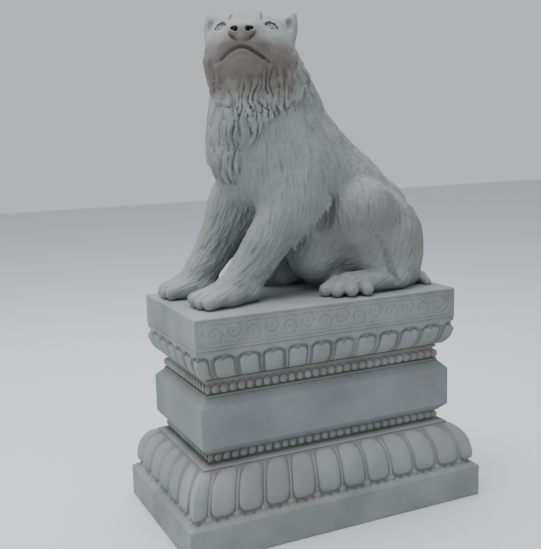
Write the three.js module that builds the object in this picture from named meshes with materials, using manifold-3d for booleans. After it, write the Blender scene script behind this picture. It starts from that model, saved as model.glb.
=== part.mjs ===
// A carved stone dog that sits on a lotus pedestal.
// Millimetres, +Z up. The dog faces -Y and its left flank is towards +X.
// The origin is on the ground, under the middle of the pedestal.
import * as THREE from 'three';
import { triTable } from 'three/addons/objects/MarchingCubes.js';
import { SimplifyModifier } from 'three/addons/modifiers/SimplifyModifier.js';
import { mergeVertices } from 'three/addons/utils/BufferGeometryUtils.js';
import Module from 'manifold-3d';

// Driving dimensions
const FIGURE_HEIGHT = 1150; // skull and ears above the slab
const SLAB_THICKNESS = 123;
const SLAB_END_MARGIN = 15; // slab past the foremost claw and the tail
const SLAB_SIDE_MARGIN = 55; // slab past the widest part of the dog
const FRIEZE_RELIEF = 4;
const FRIEZE_BORDER = 16; // slab edge to the frame of the frieze
const FRIEZE_LINE = 7; // width of the frame's raised line
const FRIEZE_CLEAR = 8; // the scroll's bends to the frame
const FRIEZE_WAVE = 1.6; // one wave of the scroll, as a share of the frame's height
const UPPER_LOTUS_HEIGHT = 127;
const UPPER_BEAD_HEIGHT = 70;
const CHAMFER_HEIGHT = 31;
const WAIST_HEIGHT = 162;
const LOWER_BEAD_HEIGHT = 39;
const LOWER_LOTUS_HEIGHT = 197;
const PLINTH_HEIGHT = 134;
const PLINTH_OUTSET = 82; // all outsets are measured from the side of the slab
const WAIST_INSET = 17;
const NECK_INSET = 49; // the narrow bands over and under the waist
const PETAL_PITCH = 103;
const PETAL_RELIEF = 15;
const PETAL_LIP = 4; // the upper petals' tips stand out past the slab
const PETAL_SETBACK = 18; // the lower petals stop short of the plinth's edge
const BEAD_PITCH = 40;
const BEAD_RELIEF = 13;
const BEAD_HEIGHT = 38;
const UPPER_BEAD_LINE = 29; // foot of the upper band to the middle of its beads
const BEAD_GROOVE = 2; // height of the slant over a bead band's foot
const JOINT_GAP = 0.3; // between blocks that rest on each other
const OVERLAP = 5; // the shapes that make up one block run into each other

// The blocks of the pedestal, from the ground up
const LOWER_LOTUS_FOOT = PLINTH_HEIGHT;
const LOWER_BEAD_FOOT = LOWER_LOTUS_FOOT + LOWER_LOTUS_HEIGHT;
const WAIST_FOOT = LOWER_BEAD_FOOT + LOWER_BEAD_HEIGHT;
const UPPER_BEAD_FOOT = WAIST_FOOT + WAIST_HEIGHT + 2 * CHAMFER_HEIGHT;
const UPPER_LOTUS_FOOT = UPPER_BEAD_FOOT + UPPER_BEAD_HEIGHT;
const SLAB_FOOT = UPPER_LOTUS_FOOT + UPPER_LOTUS_HEIGHT;
const SLAB_TOP = SLAB_FOOT + SLAB_THICKNESS;

// The figure is laid out in units of its height, so that its top is at UNITS_HIGH
const UNITS_HIGH = 1150;
const UNIT = FIGURE_HEIGHT / UNITS_HIGH;
const FIGURE_FRONT = -570;
const FIGURE_BACK = 570;
const FIGURE_HALF_WIDTH = 240;
const FIGURE_ROOT = 20; // the figure runs this far down into the slab
const FIGURE_STEP = 16; // grid on which the figure is first cut
const FIGURE_POINTS = 2050; // points that are kept of it
const SLAB_LENGTH = (FIGURE_BACK - FIGURE_FRONT) * UNIT + 2 * SLAB_END_MARGIN;
const SLAB_WIDTH = 2 * (FIGURE_HALF_WIDTH * UNIT + SLAB_SIDE_MARGIN);

const wasm = await Module();
wasm.setup();

const vec = (x, y, z) => new THREE.Vector3(x, y, z);
const lerp = THREE.MathUtils.lerp;
const smooth = THREE.MathUtils.smoothstep;

// Solids and booleans

function toManifold(geometry) {
  const bare = geometry.clone();
  bare.deleteAttribute('normal');
  bare.deleteAttribute('uv');
  const merged = mergeVertices(bare, 1e-4);
  const mesh = new wasm.Mesh({
    numProp: 3,
    vertProperties: Float32Array.from(merged.attributes.position.array),
    triVerts: Uint32Array.from(merged.index.array),
  });
  return new wasm.Manifold(mesh);
}

function toGeometry(manifold) {
  const mesh = manifold.getMesh();
  const geometry = new THREE.BufferGeometry();
  geometry.setAttribute('position', new THREE.BufferAttribute(mesh.vertProperties, 3));
  geometry.setIndex(new THREE.BufferAttribute(mesh.triVerts, 1));
  return geometry;
}

function fuse(geometries) {
  return toGeometry(geometries.map(toManifold).reduce((sum, solid) => sum.add(solid)));
}

function indexed(points, triangles) {
  const geometry = new THREE.BufferGeometry();
  geometry.setAttribute('position', new THREE.Float32BufferAttribute(points.flat(), 3));
  geometry.setIndex(triangles);
  return geometry;
}

// Shapes of the figure: each is a function that gives a point's distance to the surface

function rotation(yaw, pitch, roll) {
  const [z, x, y] = [yaw, pitch, roll].map(THREE.MathUtils.degToRad);
  return new THREE.Quaternion().setFromEuler(new THREE.Euler(x, y, z, 'ZXY'));
}

function egg(centre, radii, turn = rotation(0, 0, 0)) {
  const middle = vec(...centre);
  const back = turn.clone().invert();
  const [rx, ry, rz] = radii;
  return (point) => {
    const q = point.clone().sub(middle).applyQuaternion(back);
    const a = Math.hypot(q.x / rx, q.y / ry, q.z / rz);
    const b = Math.hypot(q.x / rx ** 2, q.y / ry ** 2, q.z / rz ** 2);
    return (a * (a - 1)) / Math.max(b, 1e-9);
  };
}

function limb(start, end, startRadius, endRadius, slim = [1, 1, 1]) {
  const squeeze = vec(...slim);
  const from = vec(...start);
  const along = vec(...end).sub(from).multiply(squeeze);
  const taper = (endRadius - startRadius) / along.length();
  const lean = taper / Math.sqrt(1 - taper ** 2) / along.length();
  return (point) => {
    const q = point.clone().sub(from).multiply(squeeze);
    const beside = q.dot(along) / along.lengthSq();
    const off = q.clone().addScaledVector(along, -beside).length();
    const t = THREE.MathUtils.clamp(beside + off * lean, 0, 1);
    return q.addScaledVector(along, -t).length() - lerp(startRadius, endRadius, t);
  };
}

function softMin(a, b, blend) {
  const h = Math.max(blend - Math.abs(a - b), 0) / blend;
  return Math.min(a, b) - (h * h * blend) / 4;
}

// joined(first, [blend, shape], ...) adds each shape with its own blend
function joined(first, ...others) {
  return (p) => others.reduce((d, [blend, shape]) => softMin(d, shape(p), blend), first(p));
}

function carved(shape, ...tools) {
  return (p) => tools.reduce((d, [blend, tool]) => -softMin(-d, tool(p), blend), shape(p));
}

function alike(blend, [first, ...others]) {
  return joined(first, ...others.map((shape) => [blend, shape]));
}

function chain(points, radii, blend) {
  return alike(blend, radii.slice(1).map((end, i) => limb(points[i], points[i + 1], radii[i], end)));
}

// The head, in its own frame: sideways, forwards, up. Both sides are alike.

const HEAD_PLACE = vec(10, -205, 1000);
const HEAD_YAW = -121.8;
const HEAD_PITCH = 18; // the muzzle points up a little
const HEAD_ROLL = -1.5;

function skull() {
  const brain = egg([0, -30, 24], [154, 150, 122]);
  const forehead = limb([0, 8, 44], [50, 2, 42], 96, 90);
  const cheek = egg([92, 4, -40], [80, 104, 98]);
  const brow = limb([66, 70, 68], [112, 44, 62], 22, 22);
  return joined(brain, [40, forehead], [50, cheek], [24, brow]);
}

function upperJaw() {
  const muzzle = limb([0, 30, -18], [0, 130, -22], 92, 62, [0.96, 1, 1.12]);
  const bridge = limb([0, 30, 44], [24, 140, 10], 52, 34, [0.9, 1, 1]);
  const lip = egg([42, 120, -46], [56, 62, 42]);
  const flew = egg([72, 72, -64], [44, 66, 46]);
  const underLip = (m) => m.z + 62 + (Math.hypot(m.x, 22) - 22) * 0.46;
  return carved(joined(muzzle, [30, bridge], [26, lip], [30, flew]), [8, underLip]);
}

function lowerJaw() {
  const chin = limb([0, 20, -100], [0, 112, -92], 86, 54, [1, 1, 1.2]);
  const side = limb([34, 108, -108], [80, 54, -112], 34, 36, [1, 1, 1.15]);
  const rim = chain([[0, 167, -84], [57, 138, -102], [97, 98, -118]], [9, 9, 7], 4);
  return joined(chin, [30, side], [12, rim]);
}

function ear() {
  const leaf = egg([144, -22, 56], [40, 34, 90], rotation(0, 8, 12));
  const tip = limb([148, -22, 104], [171, -28, 146], 30, 10, [1, 1.2, 1]);
  const hollow = egg([154, 24, 84], [20, 33, 44], rotation(0, 8, 12));
  return carved(joined(leaf, [18, tip]), [10, hollow]);
}

function nose() {
  const pad = egg([0, 170, -8], [48, 34, 32]);
  const wing = egg([28, 180, -12], [24, 24, 22]);
  const tip = egg([0, 178, -36], [20, 20, 20]);
  return joined(pad, [10, wing], [12, tip]);
}

function head() {
  const mouth = chain([[0, 178, -68], [54, 153, -86], [98, 104, -108]], [8, 8, 6], 4);
  const nostril = egg([29, 206, -16], [13, 22, 12]);
  const lid = chain([[62, 92, 30], [90, 100, 58], [122, 72, 34]], [7, 11, 7], 6);
  const underLid = chain([[64, 98, 26], [91, 108, 47], [120, 80, 26]], [6, 10, 6], 6);
  const eyeball = egg([91, 80, 38], [28, 22, 21]);
  const throat = limb([0, 20, -110], [0, -60, -280], 88, 130);
  const jaws = joined(skull(), [60, throat], [42, upperJaw()], [10, lowerJaw()]);
  const face = joined(carved(jaws, [5, mouth]), [8, nose()]);
  const eared = joined(carved(face, [5, nostril]), [22, ear()]);
  const half = joined(carved(joined(eared, [10, lid]), [4, underLid]), [2, eyeball]);
  const back = rotation(HEAD_YAW, HEAD_PITCH, HEAD_ROLL).invert();
  return (p) => {
    const m = p.clone().sub(HEAD_PLACE).applyQuaternion(back);
    return half(vec(Math.abs(m.x), m.y, m.z));
  };
}

// Legs, body and tail

const MIDDLE = -20; // the body's middle plane
const TOES = [-1, -1 / 3, 1 / 3, 1];
const FRINGE_LOCKS = 6;

function toes(x, y, spread, reach, turnOut) {
  return TOES.map((place) => {
    const inner = Math.abs(place) < 1;
    const turn = rotation(turnOut, 0, 0);
    const root = vec(place * spread * 0.86, 10, 0).applyQuaternion(turn);
    const claw = vec(place * spread * 1.08, -reach - (inner ? 14 : 0), 0).applyQuaternion(turn);
    return limb([x + root.x, y + root.y, 50], [x + claw.x, y + claw.y, 29], 31, 27, [1.2, 1, 1]);
  });
}

function foreleg({ shoulder, elbow, wrist, paw, girths, reach, turnOut }) {
  const upper = limb(shoulder, elbow, girths[0], girths[1], [1.5, 1, 1]);
  const forearm = limb(elbow, wrist, girths[1], girths[2], [1.42, 1, 1]);
  const pastern = limb(wrist, paw, 56, 58, [1, 1, 1.15]);
  const heel = egg([lerp(wrist[0], paw[0], 0.3), lerp(wrist[1], paw[1], 0.3), 42], [74, 80, 50]);
  const sole = egg([paw[0], paw[1] + 2, 34], [86, 96, 46]);
  const claws = alike(12, toes(paw[0], paw[1], 60, reach, turnOut));
  return joined(upper, [60, forearm], [50, pastern], [34, heel], [24, sole], [10, claws]);
}

// The hind paw's toes: how far out their roots are, how far back, and how much they turn out
const HIND_TOES = [[174, 92, 12], [194, 112, 38], [205, 150, 58], [212, 203, 72]];

function hindleg(side, shift, inwards, splay) {
  const x = (outwards) => MIDDLE + side * (outwards - inwards);
  const thigh = egg([x(150), 244 + shift, 350], [101, 130, 118], rotation(side * -6, 0, 0));
  const shin = limb([x(132), 225 + shift, 250], [x(136), 320, 120], 82, 64);
  const rump = egg([x(112), 385, 182], [122, 165, 206]);
  const haunch = limb([x(128), 446, 120], [x(134), 462, 52], 70, 60);
  const hock = limb([x(172), 402, 230], [x(180), 396, 60], 60, 58);
  const foot = limb([x(198), 380, 46], [x(200), 140 + shift, 46], 46, 50, [0.9, 1, 1.05]);
  const claws = HIND_TOES.map(([out, back, turned]) => {
    const root = vec(x(out), back + shift, 46);
    const way = vec(0, -56, -18).applyQuaternion(rotation(side * splay * turned, 0, 0));
    return limb(root.toArray(), way.add(root).toArray(), 34, 27);
  });
  const paw = alike(10, claws);
  const back = joined(rump, [40, haunch]);
  const leg = joined(thigh, [40, shin], [60, back], [34, hock], [22, foot], [12, paw]);
  const fold = [[240, 222, 258], [230, 281, 231], [223, 309, 153], [228, 335, 75], [246, 342, 40]];
  const line = chain(fold.map(([a, b, c]) => [x(a), b, c]), [5, 14, 15, 12, 7], 2);
  return carved(leg, [22, line]);
}

function tail() {
  const points = [[0, 500, 90], [-30, 530, 40], [50, 541, 28], [130, 544, 20], [196, 536, 10]];
  return chain(points.map(([x, y, z]) => [MIDDLE + x, y, z]), [55, 36, 28, 26, 16], 14);
}

function body() {
  const trunk = limb([MIDDLE, -92, 610], [MIDDLE, 330, 225], 256, 220, [1.38, 1, 1]);
  const loin = egg([MIDDLE, 238, 405], [140, 196, 160], rotation(0, -42, 0));
  const croup = egg([MIDDLE + 10, 424, 348], [90, 90, 88]);
  const breast = egg([MIDDLE, -214, 580], [162, 148, 168]);
  const belly = egg([MIDDLE + 6, 88, 165], [112, 124, 135]);
  const neck = limb([MIDDLE, -130, 775], [0, -183, 925], 215, 174, [1.16, 1, 1]);
  const nearShoulder = egg([MIDDLE + 125, -60, 520], [95, 165, 200]);
  const farShoulder = egg([MIDDLE - 125, -90, 520], [95, 165, 200]);
  // stone that is left uncut, behind the far legs' gap and under the belly
  const web = limb([-214, -64, 120], [-206, 120, 130], 50, 56, [1, 1, 0.38]);
  const rest = limb([-190, 166, 30], [90, 166, 30], 48, 48);
  const trunkAndNeck = joined(trunk, [70, loin], [60, croup], [60, breast], [80, neck]);
  const flanks = [1, -1].map((side) => [36, egg([MIDDLE + side * 178, 62, 325], [92, 62, 118])]);
  const hollowed = joined(carved(trunkAndNeck, ...flanks), [40, belly], [40, rest]);
  return joined(hollowed, [70, nearShoulder], [70, farShoulder], [26, web]);
}

// The pointed locks that hang from the back of a foreleg, given by the line of their tips

function fringe(top, bottom) {
  return alike(4, Array.from({ length: FRINGE_LOCKS }, (_, i) => {
    const tip = vec(...top).lerp(vec(...bottom), i / (FRINGE_LOCKS - 1));
    const root = tip.clone().add(vec(-6, -38, 66));
    return limb(root.toArray(), tip.toArray(), 24, 4);
  }));
}

// The mane: two layers of locks round the neck, each with a hem of points

const NECK_AXIS = vec(-5, -135, 0);
const RUFF_MIDDLE = 1.15; // the ruff hangs lowest under the turned head
const TUFT_MIDDLE = 0.244;
const RUFF_LOCKS = 15;
const TUFT_LOCKS = 20;

function locks(angle, height, count, sway) {
  return Math.cos(angle * count + sway * Math.sin(height / 70));
}

function mane(p) {
  const angle = Math.atan2(p.x - NECK_AXIS.x, NECK_AXIS.y - p.y);
  const round = Math.min(Math.abs(angle - RUFF_MIDDLE), 1.75);
  const ruffHem = 752 + 112 * (1 - Math.cos(round)) - 18 * Math.cos(angle * RUFF_LOCKS);
  const ruff = smooth(p.z, ruffHem - 14, ruffHem + 12) * (1 - smooth(p.z, ruffHem + 60, 900));
  const aside = Math.max(Math.abs(angle - TUFT_MIDDLE) - 0.244, 0);
  const tuftHem = 490 + 275 * aside ** 0.66 - 12 * Math.cos(angle * TUFT_LOCKS);
  const chest = 1 - smooth(aside, 0.8, 1);
  const tuft = smooth(p.z, tuftHem - 16, tuftHem + 14) * (1 - smooth(p.z, 790, 830)) * chest;
  const ruffRelief = ruff * (12 + 7 * locks(angle, p.z, RUFF_LOCKS, 0.8));
  const tuftRelief = tuft * (8 + 8 * locks(angle, p.z, TUFT_LOCKS, 1.6));
  return Math.max(ruffRelief, tuftRelief);
}

const NEAR_FORELEG = {
  shoulder: [110, -38, 500],
  elbow: [110, -90, 380],
  wrist: [64, -250, 130],
  paw: [96, -388, 48],
  girths: [122, 110, 84], // radii at the shoulder, elbow and wrist
  reach: 96, // paw's middle to its claws
  turnOut: 8,
};
const FAR_FORELEG = {
  shoulder: [-145, -110, 500],
  elbow: [-150, -200, 370],
  wrist: [-150, -363, 130],
  paw: [-160, -455, 48],
  girths: [128, 122, 71],
  reach: 70,
  turnOut: -6,
};

function dog() {
  const nearFringe = fringe([172, 62, 364], [128, -84, 200]);
  const farFringe = fringe([-212, -10, 364], [-186, -156, 200]);
  const hindLegs = joined(hindleg(1, 0, 0, 1), [36, hindleg(-1, -10, 26, 0.3)]);
  const trunk = joined(body(), [36, hindLegs], [25, tail()]);
  const standing = joined(trunk, [45, foreleg(NEAR_FORELEG)], [45, foreleg(FAR_FORELEG)]);
  const shape = joined(standing, [10, nearFringe], [10, farFringe], [30, head()]);
  return (p) => Math.max(shape(p) - mane(p), -p.z - FIGURE_ROOT);
}

// A triangle mesh of a distance function, on a grid that is finer where the carving is

const CORNERS = [
  [0, 0, 0], [1, 0, 0], [1, 1, 0], [0, 1, 0],
  [0, 0, 1], [1, 0, 1], [1, 1, 1], [0, 1, 1],
];
const EDGES = [
  [0, 1, 0], [1, 2, 1], [3, 2, 0], [0, 3, 1],
  [4, 5, 0], [5, 6, 1], [7, 6, 0], [4, 7, 1],
  [0, 4, 2], [1, 5, 2], [2, 6, 2], [3, 7, 2],
];

function ticks(...spans) {
  const places = [spans[0][0]];
  for (const [from, to, step] of spans) {
    const count = Math.round((to - from) / step);
    for (let i = 1; i <= count; i += 1) {
      places.push(lerp(from, to, i / count));
    }
  }
  return places;
}

function contour(shape, xs, ys, zs) {
  const sizes = [xs.length, ys.length, zs.length];
  const at = (i, j, k) => (k * sizes[1] + j) * sizes[0] + i;
  const values = new Float64Array(sizes[0] * sizes[1] * sizes[2]);
  const place = (i, j, k) => vec(xs[i], ys[j], zs[k]);
  zs.forEach((z, k) => ys.forEach((y, j) => xs.forEach((x, i) => {
    values[at(i, j, k)] = shape(vec(x, y, z));
  })));
  const points = [];
  const triangles = [];
  const known = new Map();
  const crossing = (cell, edge) => {
    const [from, to, axis] = EDGES[edge];
    const a = cell.map((c, n) => c + CORNERS[from][n]);
    const b = cell.map((c, n) => c + CORNERS[to][n]);
    const key = at(...a) * 3 + axis;
    if (!known.has(key)) {
      const [va, vb] = [values[at(...a)], values[at(...b)]];
      const t = THREE.MathUtils.clamp(va / (va - vb), 0.06, 0.94);
      known.set(key, points.length);
      points.push(place(...a).lerp(place(...b), t));
    }
    return known.get(key);
  };
  for (let k = 0; k < sizes[2] - 1; k += 1) {
    for (let j = 0; j < sizes[1] - 1; j += 1) {
      for (let i = 0; i < sizes[0] - 1; i += 1) {
        const inside = CORNERS.map(([x, y, z]) => values[at(i + x, j + y, k + z)] < 0);
        const row = inside.reduce((sum, on, n) => sum + (on ? 1 << n : 0), 0) * 16;
        for (let n = row; triTable[n] !== -1; n += 3) {
          const [a, b, c] = [0, 1, 2].map((m) => crossing([i, j, k], triTable[n + m]));
          triangles.push([a, b, c]);
        }
      }
    }
  }
  return { points, triangles };
}

// Even out the mesh: each point moves towards its neighbours' middle, then back to the surface
function relax({ points, triangles }, shape, rounds) {
  const probe = 2;
  const slope = (p, axis) => {
    const step = vec(0, 0, 0).setComponent(axis, probe);
    return (shape(p.clone().add(step)) - shape(p.clone().sub(step))) / (2 * probe);
  };
  for (let round = 0; round < rounds; round += 1) {
    const sums = points.map(() => vec(0, 0, 0));
    const counts = points.map(() => 0);
    for (const [a, b, c] of triangles) {
      for (const [from, to] of [[a, b], [b, c], [c, a]]) {
        sums[from].add(points[to]);
        counts[from] += 1;
      }
    }
    points.forEach((p, i) => {
      if (p.z > -FIGURE_ROOT / 2) {
        p.lerp(sums[i].divideScalar(counts[i]), 0.5);
        const normal = vec(slope(p, 0), slope(p, 1), slope(p, 2));
        const steepness = Math.max(normal.lengthSq(), 0.2);
        const move = THREE.MathUtils.clamp(-shape(p) / steepness, -8, 8);
        p.addScaledVector(normal, move);
      }
    });
  }
}

async function figureGeometry() {
  const shape = dog();
  const xs = ticks([-290, 290, FIGURE_STEP]);
  const ys = ticks([-610, -20, FIGURE_STEP], [-20, 610, FIGURE_STEP * 1.3]);
  const zs = ticks([-2 * FIGURE_ROOT, 640, FIGURE_STEP * 1.3], [640, 1180, FIGURE_STEP * 0.9]);
  const mesh = contour(shape, xs, ys, zs);
  relax(mesh, shape, 2);
  const points = mesh.points.map((p) => p.clone().multiplyScalar(UNIT).toArray());
  const fine = indexed(points, mesh.triangles.map(([a, b, c]) => [a, c, b]).flat());
  return new SimplifyModifier().modify(fine, points.length - FIGURE_POINTS);
}

// The pedestal: courses swept round the rectangle of the slab

// Heights where the petals' swell is cut into facets, as shares of the course
const UPPER_SWELL = [0, 0.12, 0.42, 0.84, 1];
const UPPER_SWELL_TOP = 0.84; // the upper petals are upright from here
const LOWER_SWELL = [-0.02, 0.12, 0.4, 0.68, 0.9, 1];
const LOWER_SWELL_POWER = 2.6; // the lower petals stand steep below and bow in above

// Places along one side, as shares of its length: petals and beads are centred on the corners
function petalPlaces(length) {
  const pitches = Math.round(length / PETAL_PITCH);
  const places = [{ share: 0, lift: 1 }];
  for (let petal = 0; petal < pitches; petal += 1) {
    for (const [offset, lift] of [[0.27, 1], [0.5, 0], [0.73, 1]]) {
      places.push({ share: (petal + offset) / pitches, lift });
    }
  }
  return places;
}

function beadPlaces(length) {
  const pitches = Math.round(length / BEAD_PITCH);
  const places = [];
  for (let bead = 0; bead < pitches; bead += 1) {
    places.push({ share: bead / pitches, lift: 1 }, { share: (bead + 0.5) / pitches, lift: 0 });
  }
  return places;
}

// One closed ring of points at a height, round a rectangle that stands out from the slab's sides
// by the outset, plus the relief where it lifts
function ring(placesOf, outset, relief, z) {
  const signs = [[1, -1], [1, 1], [-1, 1], [-1, -1]];
  return signs.flatMap(([signX, signY], side) => {
    const [nextX, nextY] = signs[(side + 1) % 4];
    const length = side % 2 === 0 ? SLAB_LENGTH : SLAB_WIDTH;
    return placesOf(length).map(({ share, lift }) => [
      lerp(signX, nextX, share) * (SLAB_WIDTH / 2 + outset + lift * relief),
      lerp(signY, nextY, share) * (SLAB_LENGTH / 2 + outset + lift * relief),
      z,
    ]);
  });
}

// A closed solid from rings of equal length, from the bottom up
function stack(rings) {
  const count = rings[0].length;
  const points = rings.flat();
  const triangles = [];
  for (let row = 0; row + 1 < rings.length; row += 1) {
    for (let column = 0; column < count; column += 1) {
      const a = row * count + column;
      const b = row * count + ((column + 1) % count);
      triangles.push(a, b, b + count, a, b + count, a + count);
    }
  }
  const last = points.length - count;
  points.push([0, 0, rings[0][0][2]], [0, 0, rings.at(-1)[0][2]]);
  for (let column = 0; column < count; column += 1) {
    const next = (column + 1) % count;
    triangles.push(points.length - 2, next, column);
    triangles.push(points.length - 1, last + column, last + next);
  }
  return indexed(points, triangles);
}

const plainPlaces = () => [{ share: 0, lift: 0 }];

// rows: [height, outset, share of the relief]
function course(placesOf, relief, rows) {
  return stack(rows.map(([z, outset, share]) => ring(placesOf, outset, relief * share, z)));
}

function upperCourse() {
  const top = SLAB_FOOT - JOINT_GAP;
  const height = top - UPPER_LOTUS_FOOT;
  const depth = NECK_INSET + PETAL_LIP;
  // the petals swell outwards on a quarter ellipse
  const swell = UPPER_SWELL.map((rise, i) => {
    const below = 1 - Math.min(rise / UPPER_SWELL_TOP, 1);
    const outset = PETAL_LIP - depth * (1 - Math.sqrt(1 - below ** 2));
    const edge = i === 0 || i === UPPER_SWELL.length - 1;
    return [UPPER_LOTUS_FOOT + rise * height, outset - PETAL_RELIEF, edge ? 0 : 1];
  });
  const lotus = course(petalPlaces, PETAL_RELIEF, swell);
  const recess = -NECK_INSET - BEAD_RELIEF;
  const beadMiddle = UPPER_BEAD_FOOT + UPPER_BEAD_LINE;
  const beadFoot = beadMiddle - BEAD_HEIGHT / 2;
  const beads = course(beadPlaces, BEAD_RELIEF, [
    [beadFoot, recess, 0],
    [beadMiddle, recess, 1],
    [beadMiddle + BEAD_HEIGHT / 2, recess, 0],
  ]);
  const core = course(plainPlaces, 0, [
    [UPPER_BEAD_FOOT + JOINT_GAP, -NECK_INSET, 0],
    [beadFoot - BEAD_GROOVE / 2, -NECK_INSET, 0],
    [beadFoot + BEAD_GROOVE / 2, recess, 0],
    [UPPER_LOTUS_FOOT + OVERLAP, recess, 0],
  ]);
  return fuse([lotus, core, beads]);
}

function waistBlock() {
  const foot = WAIST_FOOT + JOINT_GAP;
  const top = UPPER_BEAD_FOOT - JOINT_GAP;
  return course(plainPlaces, 0, [
    [foot, -NECK_INSET, 0],
    [foot + CHAMFER_HEIGHT, -WAIST_INSET, 0],
    [top - CHAMFER_HEIGHT, -WAIST_INSET, 0],
    [top, -NECK_INSET, 0],
  ]);
}

function lowerCourse() {
  const plinth = course(plainPlaces, 0, [
    [0, PLINTH_OUTSET, 0],
    [PLINTH_HEIGHT, PLINTH_OUTSET, 0],
  ]);
  const reach = PLINTH_OUTSET - PETAL_SETBACK;
  const depth = NECK_INSET + reach;
  const swell = LOWER_SWELL.map((rise, i) => {
    const bow = 1 - Math.sqrt(1 - Math.max(rise, 0) ** LOWER_SWELL_POWER);
    const outset = reach - depth * bow;
    const edge = i === LOWER_SWELL.length - 1;
    const share = edge ? 0 : 1;
    return [LOWER_LOTUS_FOOT + rise * LOWER_LOTUS_HEIGHT, outset - PETAL_RELIEF * share, share];
  });
  const lotus = course(petalPlaces, PETAL_RELIEF, swell);
  const recess = -NECK_INSET - BEAD_RELIEF;
  const top = WAIST_FOOT - JOINT_GAP;
  const beadMiddle = LOWER_BEAD_FOOT + LOWER_BEAD_HEIGHT / 2;
  const beads = course(beadPlaces, BEAD_RELIEF, [
    [LOWER_BEAD_FOOT, recess, 0],
    [beadMiddle, recess, 1],
    [top, recess, 0],
  ]);
  const core = course(plainPlaces, 0, [
    [LOWER_LOTUS_FOOT + LOWER_LOTUS_HEIGHT / 2, recess, 0],
    [top, recess, 0],
  ]);
  return fuse([plinth, lotus, core, beads]);
}

// The frieze on the long sides: a line that frames a running scroll

// An outline with half-round ends
function friezeFrame(length, height) {
  const shape = new THREE.Shape();
  const radius = height / 2;
  const x = length / 2 - radius;
  shape.moveTo(-x, -radius);
  shape.lineTo(x, -radius);
  shape.absarc(x, 0, radius, -Math.PI / 2, Math.PI / 2);
  shape.lineTo(-x, radius);
  shape.absarc(-x, 0, radius, Math.PI / 2, (Math.PI * 3) / 2);
  return shape;
}

function friezeGeometry() {
  const length = SLAB_LENGTH - 2 * FRIEZE_BORDER;
  const height = SLAB_THICKNESS - 2 * FRIEZE_BORDER;
  const settings = { depth: FRIEZE_RELIEF + OVERLAP, bevelEnabled: false, curveSegments: 5 };
  const frame = friezeFrame(length, height);
  frame.holes.push(friezeFrame(length - 2 * FRIEZE_LINE, height - 2 * FRIEZE_LINE));
  const waves = Math.round(length / (height * FRIEZE_WAVE));
  const reach = length / 2 - height / 2;
  const swing = height / 2 - FRIEZE_LINE - FRIEZE_CLEAR;
  const steps = waves * 4;
  const stem = (side) => Array.from({ length: steps + 1 }, (_, i) => {
    const t = i / steps;
    const wave = swing * Math.sin(t * waves * 2 * Math.PI);
    return new THREE.Vector2(lerp(-reach, reach, t), wave + side * FRIEZE_LINE);
  });
  const scroll = new THREE.Shape([...stem(-1), ...stem(1).reverse()]);
  return [frame, scroll].map((shape) => new THREE.ExtrudeGeometry(shape, settings));
}

function slab() {
  const block = course(plainPlaces, 0, [
    [SLAB_FOOT, 0, 0],
    [SLAB_TOP, 0, 0],
  ]);
  const reliefs = [1, -1].flatMap((side) => friezeGeometry().map((relief) => {
    const standing = new THREE.Matrix4().makeBasis(vec(0, side, 0), vec(0, 0, 1), vec(side, 0, 0));
    const sunk = SLAB_WIDTH / 2 - OVERLAP;
    standing.setPosition(side * sunk, 0, SLAB_FOOT + SLAB_THICKNESS / 2);
    return relief.applyMatrix4(standing);
  }));
  return [block, ...reliefs];
}

const PALE_STONE = { color: '#a3a7a6', roughness: 0.85, metalness: 0 };
const BLUE_STONE = { color: '#8e9297', roughness: 0.8, metalness: 0 };

function piece(name, geometry, stone) {
  const mesh = new THREE.Mesh(geometry, new THREE.MeshStandardMaterial(stone));
  mesh.name = name;
  return mesh;
}

const figure = await figureGeometry();
figure.translate(0, 0, SLAB_TOP);

const statue = new THREE.Group();
statue.add(
  piece('dog_with_slab', fuse([figure, ...slab()]), PALE_STONE),
  piece('upper_lotus_course', upperCourse(), PALE_STONE),
  piece('waist_block', waistBlock(), BLUE_STONE),
  piece('lower_lotus_course', lowerCourse(), PALE_STONE),
);

export default statue;
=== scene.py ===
"""A carved stone dog that sits on a lotus pedestal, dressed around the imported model.

Lengths in the making functions are millimetres in the part's own frame: +Z up, the dog
faces -Y, its left flank is towards +X, and the ground is at z = 0.
"""

import math
from concurrent.futures import ThreadPoolExecutor

import bpy
import numpy as np
from mathutils import Matrix, Vector


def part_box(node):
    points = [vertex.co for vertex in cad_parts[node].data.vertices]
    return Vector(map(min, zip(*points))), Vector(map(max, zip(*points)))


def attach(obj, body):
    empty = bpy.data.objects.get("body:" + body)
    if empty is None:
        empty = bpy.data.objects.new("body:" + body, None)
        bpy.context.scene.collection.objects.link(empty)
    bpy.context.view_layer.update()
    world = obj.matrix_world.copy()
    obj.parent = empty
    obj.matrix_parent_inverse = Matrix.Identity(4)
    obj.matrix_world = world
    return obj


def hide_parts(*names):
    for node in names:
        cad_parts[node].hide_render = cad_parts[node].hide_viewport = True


MM = 0.001


# Measures from the frame

def node_box(node):
    low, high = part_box(node)
    return np.array(low) / MM, np.array(high) / MM


def measures():
    """The slab's half sides and the heights where the blocks meet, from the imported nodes."""
    nodes = ("dog_with_slab", "upper_lotus_course", "waist_block", "lower_lotus_course")
    dog_box, upper_box, waist_box, (_, lower_high) = [node_box(node) for node in nodes]
    names = ("slab_foot", "top", "upper_foot", "upper_top", "waist_foot", "waist_top")
    found = dict(zip(names, [corner[2] for corner in dog_box + upper_box + waist_box]))
    found["lower_top"] = lower_high[2]
    found["half_x"], found["half_y"] = lower_high[:2] - PLINTH_OUTSET
    return found


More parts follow.
